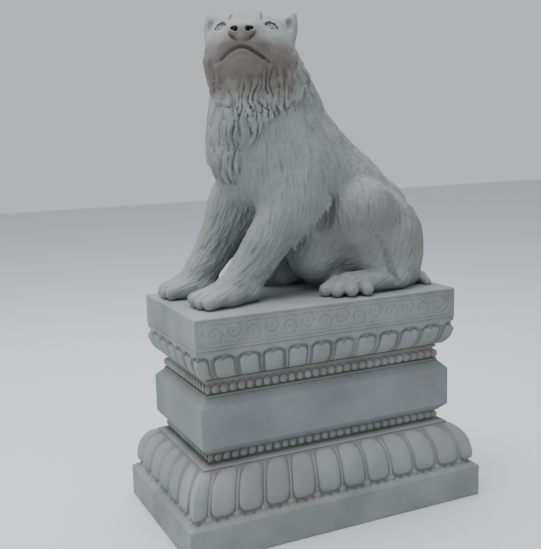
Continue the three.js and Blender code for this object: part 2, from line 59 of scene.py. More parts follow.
# The pedestal's own sizes, the same as in the solids
PLINTH_OUTSET = 82
PLINTH_HEIGHT = 134
SLAB_THICKNESS = 123
WAIST_INSET = 17
NECK_INSET = 49
CHAMFER_HEIGHT = 31
UPPER_BEAD_HEIGHT = 70
LOWER_BEAD_HEIGHT = 39
PETAL_PITCH = 103
PETAL_RELIEF = 15
BEAD_PITCH = 40
BEAD_RELIEF = 13
LIP = 4
PETAL_FOOT_SETBACK = 18


# Small mathematics

def vec(*values):
    return np.array(values, float)


def length(v):
    return np.sqrt((v * v).sum(-1))


def unit(v):
    return v / np.maximum(length(v)[..., None], 1e-9)


def ramp(x, low, high):
    """0 below low, 1 above high, smooth between."""
    t = np.clip((x - low) / (high - low), 0, 1)
    return t * t * (3 - 2 * t)


def rotation(yaw=0, pitch=0, roll=0):
    """Columns are the turned axes: roll about y, then pitch about x, then yaw about z."""
    (a, b, c), (i, j, k) = [f(np.radians([yaw, pitch, roll])) for f in (np.cos, np.sin)]
    about_z = np.array([[a, -i, 0], [i, a, 0], [0, 0, 1]])
    about_x = np.array([[1, 0, 0], [0, b, -j], [0, j, b]])
    about_y = np.array([[c, 0, k], [0, 1, 0], [-k, 0, c]])
    return about_z @ about_x @ about_y


def lattice(cells, salt):
    """A fixed pseudo-random value from 0 to 1 for each whole-numbered cell."""
    cells = cells.astype(np.int64)
    mix = cells[..., 0] * 73856093
    for axis, prime in enumerate((19349663, 83492791), start=1):
        if cells.shape[-1] > axis:
            mix = mix ^ (cells[..., axis] * prime)
    mix = (mix ^ (salt * 2654435761)) & 0x7FFFFFFF
    mix = (mix ^ (mix >> 13)) * 1274126177 & 0x7FFFFFFF
    return ((mix ^ (mix >> 16)) & 0xFFFF) / 0xFFFF


def noise(points, size, salt=0):
    """Smooth noise from -1 to 1 with lumps of the given size."""
    place = points / size
    cell = np.floor(place)
    t = place - cell
    t = t * t * (3 - 2 * t)
    shares = (1 - t, t)
    cell = cell.astype(np.int64)
    total = np.zeros(len(points))
    for i, j, k in ((i, j, k) for i in (0, 1) for j in (0, 1) for k in (0, 1)):
        weight = shares[i][:, 0] * shares[j][:, 1] * shares[k][:, 2]
        total += weight * lattice(cell + (i, j, k), salt)
    return 2 * total - 1


# Shapes of the figure: each is a function that gives points' distances to the surface

def egg(centre, radii, turn=None):
    radii = vec(*radii)

    def distance(p):
        q = p - vec(*centre)
        if turn is not None:
            q = q @ turn
        a = length(q / radii)
        return a * (a - 1) / np.maximum(length(q / radii**2), 1e-9)

    return distance


def limb(start, end, start_radius, end_radius, slim=(1, 1, 1)):
    squeeze = vec(*slim)
    origin = vec(*start)
    along = (vec(*end) - origin) * squeeze
    taper = (end_radius - start_radius) / length(along)
    lean = taper / np.sqrt(1 - taper**2) / length(along)

    def distance(p):
        q = (p - origin) * squeeze
        t = q @ along / (along @ along)
        t = np.clip(t + length(q - t[:, None] * along) * lean, 0, 1)
        return length(q - t[:, None] * along) - (start_radius + t * (end_radius - start_radius))

    return distance


def soft_min(a, b, blend):
    h = np.maximum(blend - np.abs(a - b), 0) / blend
    return np.minimum(a, b) - h * h * blend / 4


def joined(first, *others):
    def distance(p):
        d = first(p)
        for blend, shape in others:
            d = soft_min(d, shape(p), blend)
        return d

    return distance


def alike(blend, shapes):
    """The shapes joined one after the other, all with the same blend."""
    return joined(shapes[0], *[(blend, shape) for shape in shapes[1:]])


def carved(shape, *tools):
    def distance(p):
        d = shape(p)
        for blend, tool in tools:
            d = -soft_min(-d, tool(p), blend)
        return d

    return distance


def near_only(shape, centre, reach, margin=70):
    """The shape, worked out only near the ball that holds it: farther off, the ball's distance."""

    def distance(p):
        d = np.maximum(length(p - vec(*centre)) - reach, margin)
        near = d <= margin
        if near.any():
            d[near] = shape(p[near])
        return d

    return distance


def chain(points, radii, blend):
    links = [limb(points[i], points[i + 1], radii[i], radii[i + 1]) for i in range(len(points) - 1)]
    return alike(blend, links)


# The head, in its own frame: sideways, forwards, up. Both sides are alike.

HEAD_PLACE = vec(10, -205, 1000)
HEAD_TURN = rotation(-121.8, 18, -1.5)


def in_head(points):
    """The points in the head's own frame."""
    return (points - HEAD_PLACE) @ HEAD_TURN


def skull():
    brain = egg((0, -30, 24), (154, 150, 122))
    forehead = limb((0, 8, 44), (50, 2, 42), 96, 90)
    cheek = egg((92, 4, -40), (80, 104, 98))
    brow = limb((66, 70, 68), (112, 44, 62), 22, 22)
    return joined(brain, (40, forehead), (50, cheek), (24, brow))


def upper_jaw():
    muzzle = limb((0, 30, -18), (0, 130, -22), 92, 62, (0.96, 1, 1.12))
    bridge = limb((0, 30, 44), (24, 140, 10), 52, 34, (0.9, 1, 1))
    lip = egg((42, 120, -46), (56, 62, 42))
    flew = egg((72, 72, -64), (44, 66, 46))

    def under_lip(m):
        return m[:, 2] + 62 + (np.hypot(m[:, 0], 22) - 22) * 0.46

    return carved(joined(muzzle, (30, bridge), (26, lip), (30, flew)), (8, under_lip))


def lower_jaw():
    chin = limb((0, 20, -100), (0, 112, -92), 86, 54, (1, 1, 1.2))
    side = limb((34, 108, -108), (80, 54, -112), 34, 36, (1, 1, 1.15))
    lip = [(0, 168, -81), (14, 167, -83), (28, 161, -88), (42, 152, -94), (57, 139, -99)]
    corner = [(71, 125, -104), (85, 111, -109), (97, 99, -115), (103, 97, -123)]
    rim = chain(lip + corner, [7, 7, 7, 7, 7, 7, 7, 6, 4], 1)
    return joined(chin, (30, side), (12, rim))


def mouth_gap():
    line = [(0, 176, -66), (14, 174, -68), (27, 169, -72), (54, 151, -84), (81, 125, -97)]
    return chain(line + [(99, 104, -107)], [4, 4, 4, 4, 4, 4], 1)


def ear():
    leaf = egg((144, -22, 56), (40, 34, 90), rotation(0, 8, 12))
    tip = limb((148, -22, 104), (171, -28, 146), 30, 10, (1, 1.2, 1))
    hollow = egg((154, 24, 84), (20, 33, 44), rotation(0, 8, 12))
    return carved(joined(leaf, (18, tip)), (10, hollow))


def nose():
    pad = egg((0, 170, -8), (48, 34, 32))
    wing = egg((28, 180, -12), (24, 24, 22))
    tip = egg((0, 178, -36), (20, 20, 20))
    return joined(pad, (10, wing), (12, tip))


def nostril():
    bore = limb((27, 216, -14), (20, 170, -2), 12, 8)
    slit = limb((42, 206, -8), (34, 176, 0), 8, 6)
    return joined(bore, (6, slit))


def face_lines():
    """The crease beside the bridge, and the fold under the nose."""
    crease = chain([(56, 81, 105), (60, 100, 80), (63, 114, 60)], [2, 3, 2], 1)
    fold = chain([(46, 184, -22), (35, 184, -36), (20, 187, -50), (0, 189, -60)], [3, 5, 5, 4], 2)
    return crease, fold


def eye():
    """The dark line under the upper lid, the ball and the two lids."""
    cut = [(66, 96, 30), (75, 104, 42), (90, 106, 50), (105, 98, 48), (118, 82, 38)]
    line = chain(cut, [4, 6, 7, 6, 4], 6)
    ball = egg((90, 78, 37), (26, 20, 19))
    lid = [(62, 92, 32), (72, 99, 47), (90, 100, 57), (107, 91, 54), (122, 73, 42)]
    upper = chain(lid, [5, 7, 8, 7, 5], 6)
    lower = chain([(64, 94, 24), (90, 102, 15), (120, 76, 28)], [4, 6, 4], 6)
    return line, ball, upper, lower


def head():
    line, ball, upper_lid, lower_lid = [near_only(part, (92, 92, 38), 46, 25) for part in eye()]
    crease, fold = [near_only(part, (40, 140, 25), 110, 25) for part in face_lines()]
    gap = near_only(mouth_gap(), (50, 145, -85), 75, 25)
    nostrils = near_only(nostril(), (30, 195, -8), 45, 25)
    ears = near_only(ear(), (150, -20, 70), 115)
    throat = limb((0, 20, -110), (0, -60, -280), 88, 130)
    face = joined(skull(), (60, throat), (42, upper_jaw()), (10, lower_jaw()))
    face = joined(carved(face, (5, gap), (8, crease)), (8, nose()))
    eared = joined(carved(face, (5, nostrils), (5, fold)), (22, ears))
    half = joined(carved(joined(eared, (10, upper_lid)), (4, line)), (2, ball), (8, lower_lid))

    def distance(p):
        m = in_head(p)
        m[:, 0] = np.abs(m[:, 0])
        return half(m)

    return near_only(distance, HEAD_PLACE + vec(0, 0, -70), 370)


# Legs, body and tail

MIDDLE = -20
TOES = (-1, -1 / 3, 1 / 3, 1)


def toes(x, y, width, reach, turn_out):
    turn = rotation(turn_out)
    made = []
    for place in TOES:
        inner = 14 if abs(place) < 1 else 0
        root = turn @ vec(place * width * 0.86, 10, 0) + vec(x, y, 50)
        claw = turn @ vec(place * width * 1.08, -reach - inner, 0) + vec(x, y, 29)
        made.append(limb(root, claw, 31, 27, (1.2, 1, 1)))
    return made


def foreleg(joints, girth, reach, turn_out):
    shoulder, elbow, wrist, paw = joints
    upper = limb(shoulder, elbow, girth[0], girth[1], (1.5, 1, 1))
    forearm = limb(elbow, wrist, girth[1], girth[2], (1.42, 1, 1))
    pastern = limb(wrist, paw, 56, 58, (1, 1, 1.15))
    heel = egg((wrist[0] * 0.7 + paw[0] * 0.3, wrist[1] * 0.7 + paw[1] * 0.3, 42), (74, 80, 50))
    sole = egg((paw[0], paw[1] + 2, 34), (86, 96, 46))
    claws = alike(12, toes(paw[0], paw[1], 60, reach, turn_out))
    claws = near_only(claws, (paw[0], paw[1] - 45, 35), 145)
    leg = joined(upper, (60, forearm), (50, pastern), (34, heel), (24, sole), (10, claws))
    return near_only(leg, (vec(*shoulder) + vec(*paw)) / 2, 440)


# the hind paw's toes: how far out their roots are, how far back, and how much they turn out
HIND_TOES = ((174, 92, 12), (194, 112, 38), (205, 150, 58), (212, 203, 72))
# the groove between thigh and rump, which hooks round at its foot
THIGH_FOLD = [(240, 222, 258), (237, 248, 248), (230, 281, 231), (229, 301, 196)]
THIGH_FOLD += [(223, 309, 153), (220, 321, 117), (228, 335, 75), (246, 342, 40)]


def hindleg(side, shift, inwards, splay):
    def x(outwards):
        return MIDDLE + side * (outwards - inwards)

    thigh = egg((x(150), 244 + shift, 350), (101, 130, 118), rotation(side * -6))
    shin = limb((x(132), 225 + shift, 250), (x(136), 320, 120), 82, 64)
    rump = egg((x(112), 385, 182), (122, 165, 206))
    haunch = limb((x(128), 446, 120), (x(134), 462, 52), 70, 60)
    hock = limb((x(172), 402, 230), (x(180), 396, 60), 60, 58)
    foot = limb((x(198), 380, 46), (x(200), 140 + shift, 46), 46, 50, (0.9, 1, 1.05))
    made = []
    for out, back, turned in HIND_TOES:
        root = vec(x(out), back + shift, 46)
        claw = root + rotation(side * splay * turned) @ vec(0, -56, -18)
        made.append(limb(root, claw, 34, 27))
    claws = near_only(alike(10, made), (x(205), 120 + shift, 35), 160)
    back = joined(rump, (40, haunch))
    leg = joined(thigh, (40, shin), (60, back), (34, hock), (22, foot), (12, claws))
    line = chain([(x(out), y, z) for out, y, z in THIGH_FOLD], [5, 9, 13, 14, 14, 13, 11, 7], 2)
    line = near_only(line, (x(236), 286, 150), 160)
    return near_only(carved(leg, (15, line)), (x(150), 260, 230), 420)


def tail():
    points = [(0, 500, 90), (-30, 530, 40), (50, 541, 28), (130, 544, 20), (196, 536, 10)]
    made = chain([(MIDDLE + x, y, z) for x, y, z in points], [55, 36, 28, 26, 16], 14)
    return near_only(made, (MIDDLE + 80, 520, 60), 210)


def body():
    trunk = limb((MIDDLE, -92, 610), (MIDDLE, 330, 225), 256, 220, (1.38, 1, 1))
    loin = egg((MIDDLE, 238, 405), (140, 196, 160), rotation(0, -42))
    croup = egg((MIDDLE + 10, 424, 348), (90, 90, 88))
    breast = egg((MIDDLE, -214, 580), (162, 148, 168))
    belly = egg((MIDDLE + 6, 88, 165), (112, 124, 135))
    uncut = limb((-190, 166, 30), (90, 166, 30), 48, 48)
    neck = limb((MIDDLE, -130, 775), (0, -183, 925), 215, 174, (1.16, 1, 1))
    near_shoulder = egg((MIDDLE + 125, -60, 520), (95, 165, 200))
    far_shoulder = egg((MIDDLE - 125, -90, 520), (95, 165, 200))
    web = limb((-214, -64, 120), (-206, 120, 130), 50, 56, (1, 1, 0.38))
    trunk_and_neck = joined(trunk, (70, loin), (60, croup), (60, breast), (80, neck))
    flanks = [(36, egg((MIDDLE + side * 178, 62, 325), (92, 62, 118))) for side in (1, -1)]
    hollowed = joined(carved(trunk_and_neck, *flanks), (40, belly), (40, uncut))
    return joined(hollowed, (70, near_shoulder), (70, far_shoulder), (26, web))


def fringe(top, bottom):
    """The pointed locks that hang from the back of a foreleg, given by the line of their tips."""
    locks = []
    for i in range(FRINGE_LOCKS):
        tip = vec(*top) + (vec(*bottom) - vec(*top)) * i / (FRINGE_LOCKS - 1)
        tip = tip + vec(0, 0.4, -1) * (5 * (i % 2) - 4 * (i % 3 == 0))
        bend = tip + vec(-2, -8, 32)
        locks.append(limb(bend + vec(-4, -30, 34), bend, 20, 14, (0.85, 1, 1)))
        locks.append(limb(bend, tip, 14, 2, (0.85, 1, 1)))
    middle = (vec(*top) + vec(*bottom)) / 2
    return near_only(alike(3, locks), middle, 190)


# shoulder, elbow, wrist and paw; the girths at the first three; how far the toes reach and turn out
NEAR_FORELEG = {
    "joints": ((110, -38, 500), (110, -90, 380), (64, -250, 130), (96, -388, 48)),
    "girth": (122, 110, 84),
    "reach": 96,
    "turn_out": 8,
}
FAR_FORELEG = {
    "joints": ((-145, -110, 500), (-150, -200, 370), (-150, -363, 130), (-160, -455, 48)),
    "girth": (128, 122, 71),
    "reach": 70,
    "turn_out": -6,
}
FRINGE_LOCKS = 12


def dog():
    near_fringe = fringe((172, 62, 364), (128, -84, 200))
    far_fringe = fringe((-212, -10, 364), (-186, -156, 200))
    hind_legs = joined(hindleg(1, 0, 0, 1), (36, hindleg(-1, -10, 26, 0.3)))
    trunk = joined(body(), (36, hind_legs), (25, tail()))
    standing = joined(trunk, (45, foreleg(**NEAR_FORELEG)), (45, foreleg(**FAR_FORELEG)))
    return joined(standing, (10, near_fringe), (10, far_fringe), (30, head()))


EYE_PLACE = vec(90, 82, 36)
EYE_RADII = vec(28, 25, 21)
EYE_RING_DEPTH = 3


def eyeballs():
    """Both eyeballs, each with a ring cut round its pupil, as points, faces and the ring's depth, which
    darkens it with groove dirt and painted shade.
    """
    rings, columns = 34, 40
    lean = np.linspace(0, math.pi, rings)[:, None]
    around = np.arange(columns) / columns * 2 * math.pi
    level = np.ones(columns)
    from_axis = np.sin(lean)
    out = [from_axis * np.cos(around), np.cos(lean) * level, from_axis * np.sin(around)]
    groove = hump(lean - 0.4, 0.2) * level
    local = (np.stack(out, -1) @ rotation(-14, -4).T) * (EYE_RADII - EYE_RING_DEPTH * groove[..., None])
    points = []
    for side in (1, -1):
        placed = (local + EYE_PLACE) * vec(side, 1, 1)
        points.append(placed.reshape(-1, 3) @ HEAD_TURN.T + HEAD_PLACE)
    far = tube_faces(rings, columns)
    faces = np.concatenate([far, far[:, ::-1] + rings * columns])
    return np.concatenate(points), faces, np.tile(groove.reshape(-1), 2)


# From a distance function to an even mesh

BLOCK = 8
NEAR = 60
LONGEST_MOVE = 4
GAP_REACH = 9
POCKET_REACH = 40


def ticks(*spans):
    """Places along an axis, a whole number of blocks: each span is its start, end and step."""
    places = np.concatenate([np.arange(start, end - 0.01, step) for start, end, step in spans])
    spare = -len(places) % BLOCK
    more = places[-1] + spans[-1][2] * np.arange(1, spare + 1)
    return np.concatenate([places, more])


# finer towards the head and the forelegs
AXES = (
    ticks((-300, 304, 4)),
    ticks((-620, -60, 3.7), (-60, 620, 4.5)),
    ticks((-14, 640, 4.7), (640, 1184, 3.4)),
)


def in_chunks(work, *arrays, size=40000):
    """Does the work on some points at a time, several lots side by side."""
    starts = range(0, len(arrays[0]), size)
    with ThreadPoolExecutor(4) as pool:
        parts = pool.map(lambda start: work(*[a[start : start + size] for a in arrays]), starts)
        return np.concatenate(list(parts))


def sampled(shape):
    """The shape's distances on the grid, worked out only in blocks near its surface."""
    counts = [len(axis) // BLOCK for axis in AXES]
    values = np.empty([len(axis) for axis in AXES], np.float32)
    index = np.stack(np.meshgrid(*[np.arange(n) for n in counts], indexing="ij"), -1).reshape(-1, 3)
    middles = [axis.reshape(-1, BLOCK).mean(1)[index[:, i]] for i, axis in enumerate(AXES)]
    coarse = in_chunks(shape, np.stack(middles, 1))
    near = np.abs(coarse) < NEAR
    tiles = values.reshape(counts[0], BLOCK, counts[1], BLOCK, counts[2], BLOCK)
    far = index[~near]
    tiles[far[:, 0], :, far[:, 1], :, far[:, 2], :] = coarse[~near][:, None, None, None]
    inner = np.stack(np.meshgrid(*[np.arange(BLOCK)] * 3, indexing="ij"), -1).reshape(-1, 3)
    nodes = (index[near][:, None] * BLOCK + inner[None]).reshape(-1, 3)
    places = np.stack([axis[nodes[:, i]] for i, axis in enumerate(AXES)], 1)
    values[tuple(nodes.T)] = in_chunks(shape, places)
    return values


def net(values):
    """Points and four-sided faces of the surface, one point in each grid cell that it crosses."""
    inside = values < 0
    cells = tuple(n - 1 for n in values.shape)
    count = np.zeros(cells, np.int8)
    corners = [(i, j, k) for i in (0, 1) for j in (0, 1) for k in (0, 1)]
    for i, j, k in corners:
        count += inside[i : i + cells[0], j : j + cells[1], k : k + cells[2]]
    place = np.argwhere((count > 0) & (count < 8))
    number = -np.ones(cells, np.int64)
    number[tuple(place.T)] = np.arange(len(place))
    total = np.zeros((len(place), 3))
    hits = np.zeros(len(place))
    for corner in corners:
        for axis in range(3):
            if corner[axis]:
                continue
            other = list(corner)
            other[axis] = 1
            a = values[tuple((place + corner).T)]
            b = values[tuple((place + other).T)]
            crossed = (a < 0) != (b < 0)
            point = np.tile(vec(*corner), (len(place), 1))
            point[:, axis] = a / np.where(crossed, a - b, 1)
            total[crossed] += point[crossed]
            hits[crossed] += 1
    share = total / hits[:, None]
    low = [axis[place[:, i]] for i, axis in enumerate(AXES)]
    high = [axis[place[:, i] + 1] for i, axis in enumerate(AXES)]
    points = np.stack([a + (b - a) * share[:, i] for i, (a, b) in enumerate(zip(low, high))], 1)
    faces = []
    for axis in range(3):
        first = [slice(None)] * 3
        last = [slice(None)] * 3
        first[axis] = slice(0, -1)
        last[axis] = slice(1, None)
        start = inside[tuple(first)]
        edge = np.argwhere(start != inside[tuple(last)])
        second, third = (axis + 1) % 3, (axis + 2) % 3
        quads = []
        for back_second, back_third in ((1, 1), (0, 1), (0, 0), (1, 0)):
            cell = edge.copy()
            cell[:, second] -= back_second
            cell[:, third] -= back_third
            quads.append(number[tuple(cell.T)])
        quads = np.stack(quads, 1)
        outwards = start[tuple(edge.T)]
        quads[~outwards] = quads[~outwards][:, ::-1]
        faces.append(quads)
    return points, np.concatenate(faces)


def slope(shape, points, probe=1.5):
    """The surface normal at each point, from the distance function."""
    steps = np.eye(3) * probe
    rise = [shape(points + step) - shape(points - step) for step in steps]
    return np.stack(rise, 1) / (2 * probe)


def settle(shape, points):
    """Each point moved onto the surface."""
    normal = slope(shape, points)
    steepness = np.maximum((normal * normal).sum(1), 0.25)
    move = np.clip(-shape(points) / steepness, -LONGEST_MOVE, LONGEST_MOVE)
    return points + normal * move[:, None]


def painted_shade_and_dirt(shape, points, normals):
    """Painted shade and dirt, from 0 to 1: darkening in narrow gaps, and a brown mix of painted shade
    and stain in pockets, on jowls, undersides and flanks.
    """
    # how shut in each point is, in narrow gaps and in wider pockets: used as painted shade
    narrow, pocket = [
        np.clip(1 - shape(points + normals * reach) / reach, 0, 1) for reach in (GAP_REACH, POCKET_REACH)
    ]
    height = points[:, 2]
    m = in_head(points)
    # painted shade under the jaw and on undersides that face down
    jowl = ramp(40 - m[:, 2], 0, 90) * ramp(m[:, 1] + 40, 0, 60) * ramp(height, 760, 840)
    under = ramp(-normals[:, 2], -0.1, 0.6) * ramp(height, 500, 800)
    high = ramp(height, 250, 500)
    # the lower flanks: painted shade together with dirt
    flank = ramp(points[:, 1], 0, 120) * (1 - ramp(height, 280, 520)) * ramp(height, 70, 180)
    brown_shade_and_stain = 0.3 * pocket * high + 0.7 * under + 0.75 * jowl + 0.45 * flank
    return np.stack([narrow * (0.4 + 0.6 * high), np.clip(brown_shade_and_stain, 0, 1)], 1)


def edges_of(faces):
    pairs = np.concatenate([faces[:, [0, 1]], faces[:, [1, 2]], faces[:, [2, 3]], faces[:, [3, 0]]])
    return np.unique(np.sort(pairs, axis=1), axis=0)


# The coat: which way the hair lies, the mane's strands and the short hair

NECK_AXIS = vec(-5, -135, 0)
NECK_RADIUS = 200
STRAND_ROUNDNESS = 0.7
STRAND_WIDTH = 17
# the ruff and the tuft on the breast: their middle round the neck, and how low their hems hang there
RUFF_MIDDLE = 1.15
RUFF_HEM = 752
TUFT_MIDDLE = 0.244
TUFT_HEM = 490
# places on the dog and the way the hair lies there
HAIR_LINES = (
    ((-20, 250, 560), (0, 0.75, -0.65)),
    ((-20, 480, 330), (0, 0.45, -0.9)),
    ((150, 60, 620), (0.1, 0.35, -0.9)),
    ((-190, 60, 620), (-0.1, 0.35, -0.9)),
    ((150, -60, 420), (0.1, 0.1, -1)),
    ((-190, -90, 420), (-0.1, 0.1, -1)),
    ((100, -200, 250), (0, -0.55, -0.85)),
    ((-150, -270, 250), (0, -0.55, -0.85)),
    ((100, -400, 60), (0, -0.9, -0.35)),
    ((-160, -480, 60), (0, -0.9, -0.35)),
    ((200, 200, 380), (0, 0.1, -1)),
    ((200, 340, 250), (0, -0.35, -0.95)),
    ((190, 160, 60), (0, -1, -0.15)),
    ((-230, 240, 260), (0, -0.2, -1)),
    ((-220, 100, 60), (0, -1, -0.15)),
    ((-20, -300, 600), (0, 0, -1)),
)
HAIR_REACH = 130


def hair_flow(points, normals):
    """The direction of the hair on the surface: down and back on the body, back on the head."""
    flow = np.tile(vec(0, 0.3, -1.0) * 0.02, (len(points), 1))
    for place, lie in HAIR_LINES:
        near = np.exp(-((points - vec(*place)) ** 2).sum(1) / (2 * HAIR_REACH**2))
        flow += near[:, None] * unit(vec(*lie))
    m = in_head(points)
    on_head = ramp(m[:, 2] + m[:, 1] * 0.5, -140, -60)
    back = unit(m - vec(0, 190, -40)) @ HEAD_TURN.T
    flow = unit(flow) * (1 - on_head)[:, None] + back * on_head[:, None]
    flow -= normals * (flow * normals).sum(1)[:, None]
    return unit(flow)


def strands(across, down, long, salt):
    """Hanging strands as a height from 0 to 1: rounded tufts that bend between narrow gaps."""
    level = np.zeros(len(across))
    bend = np.stack([across / 62, down / 66, level], 1)
    curl = np.stack([across / 26, down / 38, level], 1)
    across = across + 20 * noise(bend, 1, salt) + 5 * noise(curl, 1, salt + 1)
    tuft = np.stack([across / STRAND_WIDTH, down / long, level], 1)
    wisp = np.stack([across / (STRAND_WIDTH * 0.55), down / (long * 0.6), level], 1)
    high = np.abs(noise(tuft, 1, salt + 2)) ** STRAND_ROUNDNESS
    fine = np.abs(noise(wisp, 1, salt + 3)) ** STRAND_ROUNDNESS
    return np.clip(high + 0.5 * fine, 0, 1)


def mane(points):
    """Two layers of strands round the neck and breast, each with a hem of points."""
    m = in_head(points)
    side = np.abs(m[:, 0])
    angle = np.arctan2(points[:, 0] - NECK_AXIS[0], NECK_AXIS[1] - points[:, 1])
    height = points[:, 2]
    across = angle * NECK_RADIUS
    # the face and the smooth throat under the jaw stay bare
    start = -150 + 84 * ramp(side, 30, 112) + 80 * ramp(60 - m[:, 1], 0, 90)
    hairy = ramp(start + 60 * ramp(-m[:, 1], 60, 150) - m[:, 2], -10, 26)
    ruff_strands = strands(across, height, long=80, salt=11)
    turn = np.minimum(np.abs(angle - RUFF_MIDDLE), 1.75)
    rise = np.where(angle > RUFF_MIDDLE, 165, 126)
    ruff_hem = RUFF_HEM + rise * (1 - np.cos(turn)) - 46 * (ruff_strands - 0.5)
    thick = 0.6 + 0.4 * ramp(start - m[:, 2], 10, 120)
    ruff = ramp(height, ruff_hem - 7, ruff_hem + 9) * (19 * ruff_strands - 3) * hairy * thick
    aside = np.maximum(np.abs(angle - TUFT_MIDDLE) - TUFT_MIDDLE, 0)
    gathered = 0.62 + 0.38 * ramp(height, 500, 740)
    tuft_across = (angle - TUFT_MIDDLE) * NECK_RADIUS / gathered
    tuft_strands = strands(tuft_across, height, long=95, salt=31)
    tuft_hem = TUFT_HEM + 275 * aside**0.66 - 40 * (tuft_strands - 0.5)
    chest = 1 - ramp(aside, 0.8, 1)
    tuft = ramp(height, tuft_hem - 10, tuft_hem + 12) * (18 * tuft_strands - 4) * chest
    tuft = tuft * (1 - ramp(height, 800, 840)) * hairy
    return np.where(ruff > 0.5, np.maximum(ruff, tuft), np.where(np.abs(ruff) > 0.01, ruff, tuft))


STROKE_STEPS = 11
STROKE_EVENING = 3.3  # brings the sum of the steps back to about -1 to 1


def strokes(points, flow, size, reach, salt):
    """Noise smeared along the hair: strokes as wide as the size and about twice the reach long."""
    total = np.zeros(len(points))
    for step in np.linspace(-1, 1, STROKE_STEPS):
        total += noise(points + flow * step * reach, size, salt)
    return total / STROKE_EVENING


def short_hair(points, flow):
    """Short strokes all over, and longer ones over the elbows."""
    fine = strokes(points, flow, size=7.5, reach=22, salt=5)
    broad = strokes(points, flow, size=13, reach=36, salt=6)
    return 2.6 * fine + 2 * broad * ramp(points[:, 2], 150, 460)


def coat_weight(points):
    """How thick the coat is: little on the face, on the ears and on the feet."""
    m = in_head(points)
    face = ramp(m[:, 1], -40, 40) * ramp(m[:, 2], -175, -130)
    ears = ramp(np.abs(m[:, 0]), 90, 120) * ramp(m[:, 2], -20, 20)
    feet = 1 - ramp(points[:, 2], 15, 110)
    return np.clip(1 - 0.85 * face - 0.85 * ears - 0.6 * feet, 0.12, 1)


def relief_of(points, normals):
    """How far the carved coat stands out from the form."""
    flow = hair_flow(points, normals)
    locks = mane(points)
    hair = short_hair(points, flow) * coat_weight(points) * (1 - 0.6 * ramp(locks, 2, 8))
    chisel = 0.8 * noise(points, 60, 8) + 0.5 * noise(points, 26, 9)
    return (locks + hair + chisel) * ramp(points[:, 2], 2, 12)


SMOOTHINGS = 8
ROOT_DEPTH = 6  # how far the dog's mesh goes on into the slab


def carved_dog():
    """The dog's mesh with its coat, standing at z = 0, and where groove dirt, painted shade and stain go
    on it.
    """
    shape = dog()
    points, faces = net(sampled(lambda p: np.maximum(shape(p), -p[:, 2] - ROOT_DEPTH)))
    sunk = points[:, 2] < 1 - ROOT_DEPTH
    settled = in_chunks(lambda p: settle(shape, p), points)
    points = np.where(sunk[:, None], points, settled)
    normals = unit(in_chunks(lambda p: slope(shape, p), points))
    shade_and_stain = in_chunks(lambda p, n: painted_shade_and_dirt(shape, p, n), points, normals)
    relief = in_chunks(relief_of, points, normals)
    points = points + normals * relief[:, None]
    hollow = hollow_of(relief, edges_of(faces), len(points))
    # narrow gaps are darkened like the grooves, as painted shade
    hollow = np.maximum(hollow, ramp(shade_and_stain[:, 0], 0.3, 0.8))
    return points, faces, hollow, shade_and_stain[:, 1]


def hollow_of(relief, edges, count):
    """From 0 on the ridges to 1 in the grooves: how far the relief lies under its surroundings."""
    a, b = edges.T
    surroundings = relief
    neighbours = 1 + np.bincount(a, minlength=count) + np.bincount(b, minlength=count)
    for _ in range(SMOOTHINGS):
        summed = surroundings + np.bincount(a, surroundings[b], count)
        summed = summed + np.bincount(b, surroundings[a], count)
        surroundings = summed / neighbours
    return ramp(surroundings - relief, 0.8, 4.6)


def point_normals(points, faces):
    """Each point's normal, from the faces round it."""
    a, b, c, d = [points[faces[:, i]] for i in range(4)]
    across = np.cross(c - a, d - b)
    total = np.stack([np.bincount(faces.ravel(), np.repeat(across[:, i], 4)) for i in range(3)], 1)
    return unit(total)


# The pedestal: blocks swept round the slab's rectangle, with carving as a height on their sides

class Band:
    """The points of a swept block: for each, its side, the place along it and its height."""

    def __init__(self, size, rows, step):
        half_x, half_y = size["half_x"], size["half_y"]
        share, side, long = [], [], []
        for number in range(4):
            full = 2 * (half_y if number % 2 == 0 else half_x)
            count = int(round(full / step))
            share.append(np.arange(count) / count)
            side.append(np.full(count, number))
            long.append(np.full(count, full))
        columns = [np.concatenate(part) for part in (share, side, long)]
        rows = np.array(rows, float)
        self.share, self.side, self.long = [
            np.broadcast_to(part, (len(rows), len(part))) for part in columns
        ]
        self.z = np.broadcast_to(rows[:, :1], self.share.shape)
        self.outset = np.broadcast_to(rows[:, 1:2], self.share.shape)
        self.half_x = half_x
        self.half_y = half_y

    def points(self, relief):
        """The band's points with the relief standing out from its sides, mitred at the corners."""
        corners = vec(1, -1), vec(1, 1), vec(-1, 1), vec(-1, -1), vec(1, -1)
        start = np.array(corners)[self.side]
        end = np.array(corners)[self.side + 1]
        place = start + (end - start) * self.share[..., None]
        x = place[..., 0] * (self.half_x + self.outset + relief)
        y = place[..., 1] * (self.half_y + self.outset + relief)
        return np.stack([x, y, self.z], -1)

    def lumps(self, size, salt):
        """Smooth noise from -1 to 1 on the band."""
        return noise(self.points(0).reshape(-1, 3), size, salt).reshape(self.z.shape)

    def saw_lines(self, spacing, salt):
        """Level lines from -1 to 1, other ones on each side."""
        place = np.stack([self.z / spacing, self.side * 9.0, self.z * 0], -1)
        return noise(place.reshape(-1, 3), 2.0, salt).reshape(self.z.shape)


def profile(points, step):
    """Evenly spaced [height, outset] rows along a profile that is given by its corners."""
    points = np.array(points, float)
    rows = [points[0]]
    for a, b in zip(points[:-1], points[1:]):
        count = max(1, int(round(np.hypot(*(b - a)) / step)))
        rows += [a + (b - a) * i / count for i in range(1, count + 1)]
    return rows


